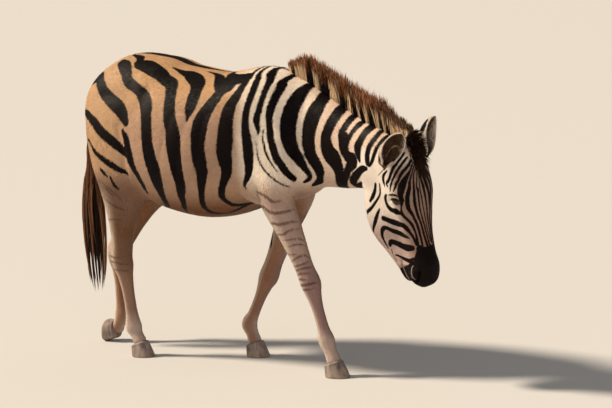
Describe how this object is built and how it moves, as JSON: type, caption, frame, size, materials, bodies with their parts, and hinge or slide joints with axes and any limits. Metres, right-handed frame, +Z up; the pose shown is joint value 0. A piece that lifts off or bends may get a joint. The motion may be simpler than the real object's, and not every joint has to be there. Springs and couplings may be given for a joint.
{
  "type": "zebra",
  "caption": "Life-size plains zebra in a slow walking stance, head held low, with separate trunk, neck, head, legs, hooves, ears, eyes, mane and tail.",
  "frame": {"origin": "on the floor, under the middle of the animal's box", "axes": "+X toward the head, +Y toward the animal's left side, +Z up"},
  "size_m": [1.9808, 0.607, 1.3327],
  "materials": {
    "coat": "short striped hair",
    "mane": "long stiff hair",
    "eye": "wet gloss",
    "horn": "dusty horn"
  },
  "bodies": {
    "root": {"trunk": "coat", "neck": "coat", "head": "coat", "ear_right": "coat", "ear_left": "coat", "leg_right_fore": "coat", "leg_left_fore": "coat", "leg_right_hind": "coat", "leg_left_hind": "coat", "tail": "coat", "tail_tuft": "mane", "mane": "mane", "forelock": "mane", "eye_right": "eye", "eye_left": "eye", "hoof_right_fore": "horn", "hoof_left_fore": "horn", "hoof_right_hind": "horn", "hoof_left_hind": "horn"}
  },
  "joints": []
}
